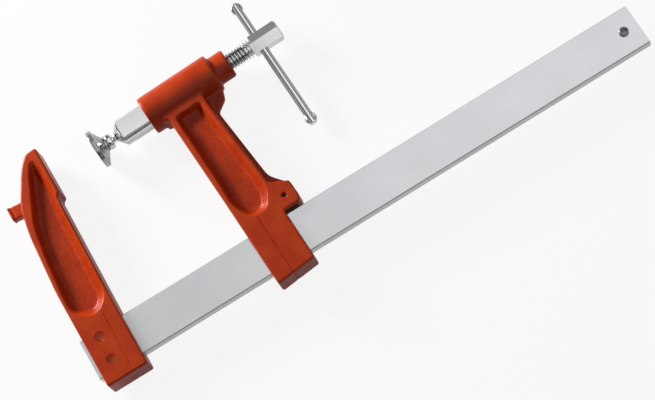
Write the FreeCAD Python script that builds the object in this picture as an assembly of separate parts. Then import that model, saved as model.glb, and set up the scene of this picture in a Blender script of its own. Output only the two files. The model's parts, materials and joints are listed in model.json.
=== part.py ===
import math
import os

from FreeCAD import Vector
import Part

# Quick release bar clamp, lying flat. Millimetres.
# Origin: the centre of the fixed jaw's anvil face, on the bar's mid plane.
# +X runs along the bar to its free end, +Y from the bar to the screw,
# +Z is up, through the clamp's thickness.
# The sliding arm and all it carries are drawn upright in the arm's own frame
# (u along the bar, v towards the screw, origin on the bar's centre line) and
# are then leaned and set on the bar by on_bar().

# Bar
BAR_LENGTH = 552.0
BAR_WIDTH = 40.0
BAR_THICK = 10.0
BAR_EDGE = 0.8
BAR_TAIL = 3.2
STOP_PIN_INSET = 14.0
STOP_PIN_R = 4.2
STOP_PIN_BORE_R = 2.5
STOP_PIN_SLIT = 1.3
STOP_PIN_PROUD = 2.6
STOP_PIN_EDGE = 0.6

# Fixed jaw
THROAT = 151.0
JAW_WIDTH = 40.0
JAW_THICK = 24.0
JAW_WEB = 8.0
JAW_FOOT = 11.5
JAW_TOE_IN = 2.3
ANVIL_PROUD = 4.0
ANVIL_HALF = 24.0
CAST_EDGE = 1.2
THIN_EDGE = 0.8
RIM_ROUND = 0.9
LUG_REACH = 3.2
LUG_HEIGHT = 14.0
LUG_THICK = 10.0
LUG_TOP = -7.7
LUG_GROOVE = 3.0
LUG_GROOVE_DEPTH = 1.2
LUG_LIP = 2.2
RIVET_R = 4.0
RIVET_INSET = 15.0
RIVET_EDGE_DIST = 8.6
RIVET_DISH = 0.5
SEAM_WIDTH = 1.3
SEAM_DEPTH = 0.5
SEAM_INSET = 14.2
ARM_SEAM_U = -3.6

# Sliding arm casting
ARM_X = 142.0
ARM_LEAN = 2.15
ARM_THICK = 24.0
ARM_WEB = 8.0
HEAD_LEFT = 20.0
HEAD_RIGHT = 18.8
HEAD_FOOT = 12.3
HEAD_FOOT_RISE = 2.7
RIB_TOP_LEFT = 22.0
RIB_TOP_RIGHT = 15.0
FIN_THICK = 6.0
FIN_PROUD = 3.4
BOSS_REACH = 37.0
BOSS_HEIGHT = 22.5
BARREL_R = 18.0
BARREL_FRONT = 36.6
BARREL_REAR = 34.9
COLLAR_R = 13.5
COLLAR_END = 50.4
SLOT_SIDE_GAP = 0.3
SLOT_GAP = 0.3

# Screw, nut and plunger, along the screw's axis
PITCH = 3.0
THREAD_R = 8.0
THREAD_ROOT_R = 6.3
THREAD_START = 0.3
THREAD_LEAD_IN = 1.8
THREAD_END = 66.4
RUNOUT_END = 75.0
HEX_FLATS = 17.6
HEX_END = 104.1
HEX_CHAMFER = 1.6
HEX_CHAMFER_IN = 2.2
HEX_LEAD = 3.6
HEAD_TURN = 5.0
NUT_R = 10.5
NUT_FLANGE = 2.7
NUT_SHOULDER = 27.0
NUT_BORE_GAP = 0.1
NUT_SUNK = 0.4
LOCK_PIN_R = 1.5
LOCK_PIN_DEPTH = 1.6
LOCK_PIN_U = 31.0
LOCK_PIN_SUNK = 0.4
PLUNGER_R = 12.5
PLUNGER_FLAT = 9.5
PLUNGER_FRONT = -63.3
PLUNGER_TAIL = 0.0
PLUNGER_BORE_R = 7.1
JOURNAL_END = -34.0
WASHER_THICK = 2.0
RETAINER_R = 1.5
RETAINER_U = -12.0
RETAINER_SUNK = 0.3
RETAINER_PLAY = 0.3
GROOVE_R = 5.2
RUN_GAP = 0.05
PRESS_GAP = 0.02

# Ball stud and swivel pad
BALL_U = -78.5
BALL_R = 5.2
NECK_R = 3.6
CONE_END = -70.3
CONE_STEP = 0.6
BALL_GAP = 0.08
PAD_R = 18.0
PAD_FACE = -90.7
PAD_RIM = 4.3
PAD_RIM_STEP = 1.4
PAD_THROAT_R = 6.8
COLLAR_BULGE_R = 7.3
COLLAR_ROUND = 2.2
COLLAR_BACK = -73.2
COLLAR_MOUTH_R = 5.0
COLLAR_MOUTH_FLARE = 0.5
COLLAR_SEAT = 1.0

# Tommy bar, lengths measured from the screw's axis
TOMMY_R = 4.0
TOMMY_UP = 43.5
TOMMY_DOWN = 91.0
TOMMY_U = 82.9
TOMMY_GAP = 0.08
TOMMY_END_ROUND = 2.2
EAR_R = 5.7
EAR_THICK = 5.0
EAR_INSET = 6.0

# Brake shoe in the arm's boss
SHOE_LEFT = 20.0
SHOE_RIGHT = 30.2
SHOE_THICK = 9.4
SHOE_FOOT = 6.0
SHOE_TOP = 16.2
SHOE_STEM = 7.6
BRAKE_PIN_U = 26.1
BRAKE_PIN_V = 12.6
BRAKE_PIN_R = 2.2
BRAKE_PIN_SUNK = 1.2
BRAKE_PIN_EDGE = 0.4
SHOE_TRAVEL = 1.2
SHOE_GAP = 0.3
SPRING_R = 2.1
SPRING_WIRE_R = 0.4
SPRING_TURNS = 3
SPRING_LENGTH = 5.2
SPRING_BORE_R = 2.9
SPRING_END_GAP = 0.1

BAR_TOP = -THROAT
BAR_MID = BAR_TOP - BAR_WIDTH / 2
BAR_LOW = BAR_TOP - BAR_WIDTH
JAW_INNER = -ANVIL_PROUD - JAW_TOE_IN
JAW_BACK = JAW_INNER - JAW_WIDTH
SEAM_X = JAW_INNER - SEAM_INSET
JAW_BOTTOM = BAR_LOW - JAW_FOOT
BAR_START = JAW_BACK - BAR_TAIL
BAR_FREE_END = BAR_START + BAR_LENGTH
AXIS_V = THROAT + BAR_WIDTH / 2
LEAN = math.radians(ARM_LEAN)
HEX_CORNER_R = HEX_FLATS / math.sqrt(3)
ALL_THROUGH = 400.0
OVERCUT = 1.0


# Small helpers
def rounded(corners, z=0.0):
    """A closed wire of lines through corners (x, y) or (x, y, radius)."""
    points = [Vector(corner[0], corner[1], z) for corner in corners]
    radii = [corner[2] if len(corner) > 2 else 0.0 for corner in corners]
    edges = []
    stops = []
    for index, here in enumerate(points):
        before = points[index - 1] - here
        after = points[(index + 1) % len(points)] - here
        half_turn = before.getAngle(after) / 2
        reach = radii[index] / math.tan(half_turn)
        reach = min(reach, 0.48 * before.Length, 0.48 * after.Length)
        radius = reach * math.tan(half_turn)
        before.normalize()
        after.normalize()
        middle = (before + after).normalize() * (radius / math.sin(half_turn) - radius)
        stops.append((here + before * reach, here + middle, here + after * reach))
    for index, (entry, middle, leave) in enumerate(stops):
        edges.append(Part.LineSegment(stops[index - 1][2], entry).toShape())
        if radii[index] > 0:
            edges.append(Part.Arc(entry, middle, leave).toShape())
    return Part.Wire(edges)


def plate(corners, thick, rounding):
    """An outline given a thickness about z = 0, its rims rounded over."""
    face = Part.Face(rounded(corners, -thick / 2))
    solid = face.extrude(Vector(0, 0, thick))
    rims = [e for e in solid.Edges if abs(abs(e.CenterOfMass.z) - thick / 2) < 1e-6]
    return solid.makeFillet(rounding, rims)


def box(x0, x1, y0, y1, z0, z1):
    """A block between two limits on each axis."""
    return Part.makeBox(x1 - x0, y1 - y0, z1 - z0, Vector(x0, y0, z0))


def rod(radius, start, end):
    """A cylinder from one point to another."""
    start = Vector(*start)
    direction = Vector(*end) - start
    return Part.makeCylinder(radius, direction.Length, start, direction)


def round_edges(shape):
    """The circular edges of a rod, at its two ends."""
    return [edge for edge in shape.Edges if edge.Curve.TypeId == "Part::GeomCircle"]


def turned(corners):
    """A solid of revolution about the screw's axis from (u, radius) corners."""
    solid = Part.Face(rounded(corners)).revolve(Vector(0, 0, 0), Vector(1, 0, 0), 360)
    return solid.translated(Vector(0, AXIS_V, 0))


def both_faces(shape):
    """The shape and its mirror image on the far side of the mid plane."""
    return shape.fuse(shape.mirror(Vector(0, 0, 0), Vector(0, 0, 1)))


def pocket(rim, floor, thick, web):
    """A recess with sloping walls in both faces, from a rim and a floor outline."""
    lift = 1.0
    slope = lift / (thick / 2 - web / 2)
    raised = [(x + (x - p) * slope, y + (y - q) * slope, r) for (x, y, r), (p, q, _) in zip(rim, floor)]
    walls = [rounded(floor, web / 2), rounded(raised, thick / 2 + lift)]
    return both_faces(Part.makeLoft(walls, True, True))


def soften_rims(shape, thick):
    """Round the rims of the recesses that open in the two flat faces."""
    rims = []
    for face in shape.Faces:
        if abs(abs(face.CenterOfMass.z) - thick / 2) > 1e-6:
            continue
        for wire in face.Wires:
            if not wire.isSame(face.OuterWire):
                rims.extend(wire.Edges)
    return shape.makeFillet(RIM_ROUND, rims)


def seam(x, y_low, y_high, thick):
    """The casting's joint line: a shallow V down both faces and across the end."""
    half = SEAM_WIDTH / 2
    face_v = [(x - half, thick / 2), (x, thick / 2 - SEAM_DEPTH), (x + half, thick / 2), (x, thick)]
    points = [Vector(px, y_low - 2 * SEAM_DEPTH, pz) for px, pz in face_v]
    groove = Part.Face(Part.makePolygon(points + points[:1]))
    groove = both_faces(groove.extrude(Vector(0, y_high - y_low, 0)))
    outside = y_low - OVERCUT
    notch_top = y_low + 2 * SEAM_DEPTH
    end_v = [(x - half, outside), (x - half, y_low), (x, notch_top), (x + half, y_low), (x + half, outside)]
    points = [Vector(px, py, -thick) for px, py in end_v]
    notch = Part.Face(Part.makePolygon(points + points[:1])).extrude(Vector(0, 0, 2 * thick))
    return groove.fuse(notch)


def on_bar(shape):
    """Lean a shape of the arm's frame and set it on the bar."""
    placed = shape.copy()
    placed.rotate(Vector(0, 0, 0), Vector(0, 0, 1), ARM_LEAN)
    placed.translate(Vector(ARM_X, BAR_MID, 0))
    return placed


def in_arm_frame(shape):
    """The opposite of on_bar, for cutting the arm to fit what lies along the bar."""
    placed = shape.translated(Vector(-ARM_X, -BAR_MID, 0))
    placed.rotate(Vector(0, 0, 0), Vector(0, 0, 1), -ARM_LEAN)
    return placed


def head_turned(shape):
    """Turn a shape with the screw's head about the screw's axis."""
    placed = shape.copy()
    placed.rotate(Vector(0, AXIS_V, 0), Vector(1, 0, 0), HEAD_TURN)
    return placed


# Bar, its stop pin and the rivets
RIVET_X = JAW_BACK + RIVET_INSET
RIVET_YS = {"upper": BAR_TOP - RIVET_EDGE_DIST, "lower": BAR_LOW + RIVET_EDGE_DIST}
STOP_X = BAR_FREE_END - STOP_PIN_INSET


def make_bar():
    """The flat bar, its long edges broken, bored for the rivets and the stop pin."""
    y, z = BAR_WIDTH / 2, BAR_THICK / 2
    flat_y, flat_z = y - BAR_EDGE, z - BAR_EDGE
    upper = [(y, flat_z), (flat_y, z), (-flat_y, z), (-y, flat_z)]
    lower = [(py, -pz) for py, pz in reversed(upper)]
    points = [Vector(BAR_START, BAR_MID + py, pz) for py, pz in upper + lower]
    bar = Part.Face(Part.makePolygon(points + points[:1])).extrude(Vector(BAR_LENGTH, 0, 0))
    for rivet_y in RIVET_YS.values():
        bar = bar.cut(rod(RIVET_R, (RIVET_X, rivet_y, -BAR_THICK), (RIVET_X, rivet_y, BAR_THICK)))
    return bar.cut(rod(STOP_PIN_R, (STOP_X, BAR_MID, -BAR_THICK), (STOP_X, BAR_MID, BAR_THICK)))


def make_stop_pin():
    """A slotted tube through the bar that keeps the arm on it."""
    reach = BAR_THICK / 2 + STOP_PIN_PROUD
    pin = rod(STOP_PIN_R, (STOP_X, BAR_MID, -reach), (STOP_X, BAR_MID, reach))
    pin = pin.makeChamfer(STOP_PIN_EDGE, round_edges(pin))
    pin = pin.cut(rod(STOP_PIN_BORE_R, (STOP_X, BAR_MID, -reach), (STOP_X, BAR_MID, reach)))
    half = STOP_PIN_SLIT / 2
    return pin.cut(box(STOP_X, STOP_X + 2 * STOP_PIN_R, BAR_MID - half, BAR_MID + half, -reach, reach))


def make_rivet(rivet_y):
    """A rivet hammered flush, with a shallow dished end each side."""
    reach = JAW_THICK / 2
    rivet = rod(RIVET_R - PRESS_GAP, (RIVET_X, rivet_y, -reach), (RIVET_X, rivet_y, reach))
    ball_r = (RIVET_R ** 2 + RIVET_DISH ** 2) / (2 * RIVET_DISH)
    dish = Part.makeSphere(ball_r, Vector(RIVET_X, rivet_y, reach + ball_r - RIVET_DISH))
    return rivet.cut(both_faces(dish))


# Fixed jaw casting
def make_lug():
    """The flat lug on the jaw's back, with a groove across each face."""
    end = JAW_BACK - LUG_REACH
    low = LUG_TOP - LUG_HEIGHT
    lug = plate(
        [
            (end, LUG_TOP, 0.8), (end + 8.5, LUG_TOP - 2.0, 8), (JAW_BACK + 13.1, LUG_TOP - 2.2, 9),
            (JAW_BACK + 20.4, LUG_TOP + 10.7), (JAW_BACK + 22, low - 9), (JAW_BACK + 6.8, low - 9),
            (JAW_BACK + 8.4, low, 3.5), (end, low, 0.8),
        ],
        LUG_THICK,
        THIN_EDGE,
    )
    groove = box(end + LUG_LIP, end + LUG_LIP + LUG_GROOVE, low - 1, LUG_TOP + 1,
                 LUG_THICK / 2 - LUG_GROOVE_DEPTH, LUG_THICK)
    return lug.cut(both_faces(groove))


def make_fixed_jaw():
    """The riveted casting: anvil, curved back, recess in each face, lug and foot round the bar."""
    body = plate(
        [
            (JAW_BACK + 0.3, JAW_BOTTOM, 1.5), (JAW_BACK, BAR_TOP + 46, 300), (JAW_BACK + 4.1, -45, 150),
            (JAW_BACK + 9.1, -17, 60), (JAW_BACK + 25.5, ANVIL_HALF - 11, 60),
            (JAW_BACK + 34.8, ANVIL_HALF, 8), (0, ANVIL_HALF + 1, 1.5), (0, 0.3 - ANVIL_HALF, 0.8),
            (-ANVIL_PROUD, -2.5 - ANVIL_HALF, 4), (JAW_INNER, BAR_TOP, 100), (JAW_INNER, JAW_BOTTOM, 1.5),
        ],
        JAW_THICK,
        CAST_EDGE,
    )
    rim = [
        (JAW_BACK + 3.2, BAR_TOP + 21.5, 17), (JAW_BACK + 21.3, BAR_TOP + 8.4, 14),
        (JAW_INNER - 2.0, BAR_TOP + 22.4, 22), (-ANVIL_PROUD - 2.9, -14 - ANVIL_HALF, 40),
        (0.4 - ANVIL_PROUD, 8 - ANVIL_HALF, 25), (-ANVIL_PROUD, ANVIL_HALF - 16, 20),
        (-ANVIL_PROUD - 5, ANVIL_HALF - 5, 3.5), (JAW_BACK + 28.8, ANVIL_HALF - 22, 60),
        (JAW_BACK + 12, -38.5, 60), (JAW_BACK + 7.3, -70, 150), (JAW_BACK + 3.7, BAR_TOP + 39, 150),
    ]
    floor = [
        (JAW_BACK + 7.3, BAR_TOP + 26.5, 12), (JAW_BACK + 20.8, BAR_TOP + 16.2, 9),
        (JAW_INNER - 9.0, BAR_TOP + 25, 15), (-ANVIL_PROUD - 9.2, -20 - ANVIL_HALF, 40),
        (-ANVIL_PROUD - 6.4, 8 - ANVIL_HALF, 20), (-ANVIL_PROUD - 6.2, ANVIL_HALF - 25, 10),
        (-ANVIL_PROUD - 9, ANVIL_HALF - 17, 2.5), (JAW_BACK + 28.7, ANVIL_HALF - 26, 30),
        (JAW_BACK + 14.9, -40, 60), (JAW_BACK + 9.9, -70, 150), (JAW_BACK + 7.3, BAR_TOP + 41, 100),
    ]
    jaw = body.fuse(make_lug())
    jaw = soften_rims(jaw.cut(pocket(rim, floor, JAW_THICK, JAW_WEB)), JAW_THICK)
    jaw = jaw.cut(seam(SEAM_X, JAW_BOTTOM, BAR_TOP + 8, JAW_THICK))
    jaw = jaw.cut(box(-ALL_THROUGH, ALL_THROUGH, BAR_LOW, BAR_TOP, -BAR_THICK / 2, BAR_THICK / 2))
    for rivet_y in RIVET_YS.values():
        jaw = jaw.cut(rod(RIVET_R, (RIVET_X, rivet_y, -JAW_THICK), (RIVET_X, rivet_y, JAW_THICK)))
    return jaw


# Sliding arm casting
BOSS_LOW = BAR_WIDTH / 2 / math.cos(LEAN) + HEAD_LEFT * math.tan(LEAN) + SLOT_GAP
BOSS_TOP = BOSS_LOW + BOSS_HEIGHT
HEAD_BOTTOM = -BAR_WIDTH / 2 - HEAD_FOOT
BARREL_LOW = AXIS_V - BARREL_R


def make_arm_body():
    """Head, ribs and boss as one thick plate, with the recess between the ribs."""
    body = plate(
        [
            (-HEAD_LEFT, HEAD_BOTTOM, 1.5), (-HEAD_LEFT - 0.6, BOSS_TOP + 16, 300),
            (-RIB_TOP_LEFT, BARREL_LOW - 0.2, 3.6), (-RIB_TOP_LEFT - 4.4, BARREL_LOW - 0.2),
            (-RIB_TOP_LEFT - 4.4, AXIS_V), (RIB_TOP_RIGHT, AXIS_V), (RIB_TOP_RIGHT, BARREL_LOW - 11, 200),
            (HEAD_RIGHT + 1.3, BOSS_TOP + 7, 7), (BOSS_REACH - 0.4, BOSS_TOP - 1.6, 2.5),
            (BOSS_REACH, BOSS_LOW + 6, 8), (BOSS_REACH - 1.8, BOSS_LOW, 2.0), (HEAD_RIGHT, BOSS_LOW),
            (HEAD_RIGHT, HEAD_BOTTOM + HEAD_FOOT_RISE, 1.5),
        ],
        ARM_THICK,
        CAST_EDGE,
    )
    rim = [
        (3.6 - HEAD_LEFT, BOSS_TOP + 4.5, 40), (-7.5, BOSS_TOP - 12.8, 13), (8.4, BOSS_TOP - 12.8, 13),
        (HEAD_RIGHT - 1.7, BOSS_TOP + 3.5, 40), (HEAD_RIGHT - 1.6, BOSS_TOP + 17, 200),
        (RIB_TOP_RIGHT - 5, BARREL_LOW - 2.5, 4), (6 - RIB_TOP_LEFT, BARREL_LOW - 2.5, 4),
        (4.4 - HEAD_LEFT, BOSS_TOP + 40, 300),
    ]
    floor = [
        (8.2 - HEAD_LEFT, BOSS_TOP + 6.5, 24), (-5.5, BOSS_TOP - 6.8, 8), (4.5, BOSS_TOP - 6.8, 8),
        (HEAD_RIGHT - 8.6, BOSS_TOP + 5.5, 24), (HEAD_RIGHT - 8.6, BOSS_TOP + 20, 100),
        (RIB_TOP_RIGHT - 10, BARREL_LOW - 4.6, 3), (9.4 - RIB_TOP_LEFT, BARREL_LOW - 4.6, 3),
        (8.2 - HEAD_LEFT, BOSS_TOP + 40, 300),
    ]
    return soften_rims(body.cut(pocket(rim, floor, ARM_THICK, ARM_WEB)), ARM_THICK)


def make_arm_fin():
    """The thin fin behind the right rib, from the boss up to the barrel."""
    return plate(
        [
            (0, BOSS_TOP - 2), (BOSS_REACH - 0.8, BOSS_TOP - 0.5, 0.6),
            (HEAD_RIGHT + 5.1, BOSS_TOP + 15.7, 18), (RIB_TOP_RIGHT + FIN_PROUD, BARREL_LOW - 17.5, 5),
            (BARREL_REAR - 7.9, BARREL_LOW - 11.5, 3), (BARREL_REAR - 5.4, BARREL_LOW - 9.6, 6),
            (BARREL_REAR - 0.8, BARREL_LOW + 3), (0, BARREL_LOW + 3),
        ],
        FIN_THICK,
        THIN_EDGE,
    )


def make_barrel():
    """The round barrel that holds the screw, with its collar."""
    return turned([
        (-BARREL_FRONT, 0), (-BARREL_FRONT, BARREL_R, 1.2), (BARREL_REAR, BARREL_R, 1.8),
        (BARREL_REAR, COLLAR_R), (COLLAR_END, COLLAR_R, 1.6), (COLLAR_END, 0),
    ])


def double_d(radius, flat, start, end):
    """A round bar along the screw's axis with two flats facing up and down."""
    round_bar = rod(radius, (start, AXIS_V, 0), (end, AXIS_V, 0))
    return round_bar.common(box(start, end, AXIS_V - radius - 1, AXIS_V + radius + 1, -flat, flat))


def make_sliding_arm():
    """The whole arm casting, with the bar's slot, the barrel's bore and the brake's pocket."""
    arm = make_arm_body().fuse(make_arm_fin()).fuse(make_barrel())
    arm = arm.cut(seam(ARM_SEAM_U, HEAD_BOTTOM + HEAD_FOOT_RISE / 2, BOSS_LOW + 9, ARM_THICK))

    # The slot is higher than the bar, so the arm can tip and grip it.
    slot_half_z = BAR_THICK / 2 + SLOT_SIDE_GAP
    arm = arm.cut(box(-ALL_THROUGH, ALL_THROUGH, -BOSS_LOW, BOSS_LOW, -slot_half_z, slot_half_z))

    # The barrel's bore for the plunger and the nut.
    front = -BARREL_FRONT - OVERCUT
    arm = arm.cut(double_d(PLUNGER_R + RUN_GAP, PLUNGER_FLAT + RUN_GAP, front, NUT_SHOULDER))
    nut_ends = (NUT_SHOULDER - OVERCUT, AXIS_V, 0), (COLLAR_END + OVERCUT, AXIS_V, 0)
    arm = arm.cut(rod(NUT_R + PRESS_GAP, *nut_ends))
    arm = arm.cut(rod(LOCK_PIN_R, (LOCK_PIN_U, AXIS_V, -2 * BARREL_R), (LOCK_PIN_U, AXIS_V, 0)))

    # The brake's pocket, its spring bore and the cross hole for its pin.
    half_z = SHOE_THICK / 2 + SHOE_GAP
    lifted = BAR_WIDTH / 2 + SHOE_TRAVEL + SHOE_GAP
    stem_half = SHOE_STEM / 2 + SHOE_GAP
    stem_top = lifted + SHOE_TOP
    spring_top = stem_top - SHOE_TRAVEL + SPRING_LENGTH
    pin_v = BAR_WIDTH / 2 + BRAKE_PIN_V
    low = BOSS_LOW - OVERCUT
    foot_room = box(SHOE_LEFT - SHOE_GAP, SHOE_RIGHT + SHOE_GAP, low, lifted + SHOE_FOOT, -half_z, half_z)
    stem_room = box(BRAKE_PIN_U - stem_half, BRAKE_PIN_U + stem_half, low, stem_top, -half_z, half_z)
    arm = arm.cut(foot_room.fuse(stem_room))
    arm = arm.cut(rod(SPRING_BORE_R, (BRAKE_PIN_U, BAR_WIDTH / 2, 0), (BRAKE_PIN_U, spring_top, 0)))
    return arm.cut(rod(BRAKE_PIN_R, (BRAKE_PIN_U, pin_v, -ARM_THICK), (BRAKE_PIN_U, pin_v, ARM_THICK)))


# Brake: shoe, spring and pin
def make_brake_shoe():
    """A block with a flat foot on the bar's edge and a stem on the brake pin."""
    half_z = SHOE_THICK / 2
    stem_half = SHOE_STEM / 2
    pin_v = BAR_WIDTH / 2 + BRAKE_PIN_V
    foot = box(SHOE_LEFT, SHOE_RIGHT, 0, BAR_WIDTH / 2 + SHOE_FOOT, -half_z, half_z)
    top = BAR_WIDTH / 2 + SHOE_TOP
    stem = box(BRAKE_PIN_U - stem_half, BRAKE_PIN_U + stem_half, 0, top, -half_z, half_z)
    hole_r = BRAKE_PIN_R + RUN_GAP
    hole = rod(hole_r, (BRAKE_PIN_U, pin_v, -half_z), (BRAKE_PIN_U, pin_v, half_z))
    lower = hole.translated(Vector(0, -SHOE_TRAVEL, 0))
    between = box(BRAKE_PIN_U - hole_r, BRAKE_PIN_U + hole_r, pin_v - SHOE_TRAVEL, pin_v, -half_z, half_z)
    shoe = foot.fuse(stem).removeSplitter()
    shoe = shoe.cut(hole.fuse(lower).fuse(between))
    bar_side = box(-ALL_THROUGH, ALL_THROUGH, BAR_TOP - ALL_THROUGH, BAR_TOP, -SHOE_THICK, SHOE_THICK)
    return shoe.cut(in_arm_frame(bar_side))


def make_brake_spring():
    """A short compression spring, its curls one unbroken tube along v."""
    rise = SPRING_LENGTH - 2 * SPRING_WIRE_R - SPRING_END_GAP
    pitch = rise / SPRING_TURNS
    helix = Part.makeHelix(pitch, rise, SPRING_R)
    along_wire = Vector(0, SPRING_R, pitch / math.tau)
    circle = Part.Wire(Part.makeCircle(SPRING_WIRE_R, Vector(SPRING_R, 0, 0), along_wire))
    coil = Part.Wire(helix).makePipeShell([circle], True, True)
    gap_to_self = pitch - 2 * SPRING_WIRE_R
    print("brake spring: least gap between curls %.2f mm" % gap_to_self)
    coil.rotate(Vector(0, 0, 0), Vector(1, 0, 0), -90)
    foot = BAR_WIDTH / 2 + SHOE_TOP + SHOE_GAP + SPRING_WIRE_R
    return coil.translated(Vector(BRAKE_PIN_U, foot, 0))


def make_brake_pin():
    """The cross pin in the boss, sunk a little below both faces."""
    pin_v = BAR_WIDTH / 2 + BRAKE_PIN_V
    reach = ARM_THICK / 2 - BRAKE_PIN_SUNK
    pin = rod(BRAKE_PIN_R - PRESS_GAP, (BRAKE_PIN_U, pin_v, -reach), (BRAKE_PIN_U, pin_v, reach))
    return pin.makeChamfer(BRAKE_PIN_EDGE, round_edges(pin))


# Nut in the barrel
def make_screw_nut():
    """A bush with a flange that the barrel's flats keep from turning."""
    flange_start = NUT_SHOULDER - NUT_FLANGE
    flange = double_d(PLUNGER_R - PRESS_GAP, PLUNGER_FLAT - PRESS_GAP, flange_start, NUT_SHOULDER)
    shank = rod(NUT_R, (NUT_SHOULDER, AXIS_V, 0), (COLLAR_END - NUT_SUNK, AXIS_V, 0))
    nut = flange.fuse(shank)
    bore_r = THREAD_R + NUT_BORE_GAP
    nut = nut.cut(rod(bore_r, (flange_start - OVERCUT, AXIS_V, 0), (COLLAR_END + OVERCUT, AXIS_V, 0)))
    seat = NUT_R - LOCK_PIN_DEPTH
    return nut.cut(rod(LOCK_PIN_R, (LOCK_PIN_U, AXIS_V, -2 * NUT_R), (LOCK_PIN_U, AXIS_V, -seat)))


def make_nut_lock_pin():
    """The pin in the barrel's far side, its nose in the nut's shank."""
    seat = NUT_R - LOCK_PIN_DEPTH + PRESS_GAP
    outer = BARREL_R - LOCK_PIN_SUNK
    return rod(LOCK_PIN_R - PRESS_GAP, (LOCK_PIN_U, AXIS_V, -outer), (LOCK_PIN_U, AXIS_V, -seat))


# Plunger: sleeve, ball stud, thrust washer and the pins that hold the screw
def make_plunger_sleeve():
    """The bored plunger, its two flats keeping it from turning in the barrel."""
    sleeve = double_d(PLUNGER_R, PLUNGER_FLAT, PLUNGER_FRONT, PLUNGER_TAIL)
    ends = (PLUNGER_FRONT - OVERCUT, AXIS_V, 0), (PLUNGER_TAIL + OVERCUT, AXIS_V, 0)
    sleeve = sleeve.cut(rod(PLUNGER_BORE_R, *ends))
    for hole in retainer_rods(RETAINER_R):
        sleeve = sleeve.cut(hole)
    return sleeve


def retainer_rods(radius):
    """Two pins that stand through the sleeve, one each side of the screw's groove."""
    offset = GROOVE_R + RETAINER_R + RUN_GAP
    reach = PLUNGER_FLAT - RETAINER_SUNK
    heights = AXIS_V + offset, AXIS_V - offset
    return [rod(radius, (RETAINER_U, v, -reach), (RETAINER_U, v, reach)) for v in heights]


def make_ball_stud():
    """A cone, neck and ball in front, and a spigot pressed into the sleeve."""
    spigot_end = JOURNAL_END - WASHER_THICK
    spigot_r = PLUNGER_BORE_R - PRESS_GAP
    base = PLUNGER_R - CONE_STEP
    stud = turned([
        (BALL_U, 0), (BALL_U, NECK_R), (CONE_END, NECK_R), (PLUNGER_FRONT - CONE_STEP, base),
        (PLUNGER_FRONT, base), (PLUNGER_FRONT, spigot_r), (spigot_end, spigot_r), (spigot_end, 0),
    ])
    stud = stud.common(box(PAD_FACE, PLUNGER_TAIL, 0, 2 * AXIS_V, -PLUNGER_FLAT, PLUNGER_FLAT))
    return stud.fuse(Part.makeSphere(BALL_R, Vector(BALL_U, AXIS_V, 0), Vector(1, 0, 0)))


def make_thrust_washer():
    """The hardened disc that the screw's end pushes on."""
    return rod(PLUNGER_BORE_R - RUN_GAP, (JOURNAL_END - WASHER_THICK, AXIS_V, 0), (JOURNAL_END, AXIS_V, 0))


# Swivel pad and the collar that traps the ball
PAD_JOINT_U = BALL_U - COLLAR_SEAT


def socket_space():
    """The ball's bore, the cone at 45 degrees that traps it and the mouth for the tilting neck."""
    bore_r = BALL_R + BALL_GAP
    narrow_r = COLLAR_MOUTH_R - COLLAR_MOUTH_FLARE
    cone_start = BALL_U + bore_r * (math.sqrt(2) - 1)
    cone_end = BALL_U + bore_r * math.sqrt(2) - narrow_r
    return turned([
        (BALL_U - bore_r, 0), (BALL_U - bore_r, bore_r), (cone_start, bore_r), (cone_end, narrow_r),
        (COLLAR_BACK + OVERCUT, COLLAR_MOUTH_R), (COLLAR_BACK + OVERCUT, 0),
    ])


def make_swivel_pad():
    """The round pressure pad, dished towards the ball."""
    rim_back = PAD_FACE + PAD_RIM
    dish = turned([
        (PAD_FACE, 0), (PAD_FACE, PAD_R, 0.6), (rim_back, PAD_R, 0.6), (rim_back, PAD_R - PAD_RIM_STEP),
        (PAD_JOINT_U - 1.6, PAD_THROAT_R + 0.3, 8), (PAD_JOINT_U, PAD_THROAT_R), (PAD_JOINT_U, 0),
    ])
    return dish.cut(socket_space())


def make_pad_collar():
    """The bulging ring on the pad's back that traps the ball."""
    collar = turned([
        (PAD_JOINT_U, 0), (PAD_JOINT_U, COLLAR_BULGE_R, COLLAR_ROUND),
        (COLLAR_BACK, COLLAR_BULGE_R, COLLAR_ROUND), (COLLAR_BACK, 0),
    ])
    return collar.cut(socket_space())


# Screw: plain journal, coarse thread and hexagonal head
def thread_groove(start, end):
    """The helical cut of the thread, tall enough to cross the head's corners."""
    above_crest = THREAD_R + 0.4
    above_corner = HEX_CORNER_R + 0.7
    half = PITCH / 2
    flank = [(THREAD_ROOT_R, 0.2 * half), (above_crest, 0.92 * half), (above_corner, 0.95 * half)]
    points = [Vector(r, 0, -w) for r, w in flank] + [Vector(r, 0, w) for r, w in reversed(flank)]
    helix = Part.Wire(Part.makeHelix(PITCH, end - start, THREAD_R))
    groove = helix.makePipeShell([Part.makePolygon(points + points[:1])], True, True)
    groove.rotate(Vector(0, 0, 0), Vector(0, 1, 0), 90)
    return groove.translated(Vector(start, AXIS_V, 0))


def hexagon(flats, start, end):
    """A hexagonal bar along the screw's axis with a corner facing up."""
    radius = flats / math.sqrt(3)
    points = []
    for corner in range(6):
        angle = math.radians(60 * corner)
        points.append(Vector(start, AXIS_V + radius * math.sin(angle), radius * math.cos(angle)))
    return Part.Face(Part.makePolygon(points + points[:1])).extrude(Vector(end - start, 0, 0))


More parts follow.
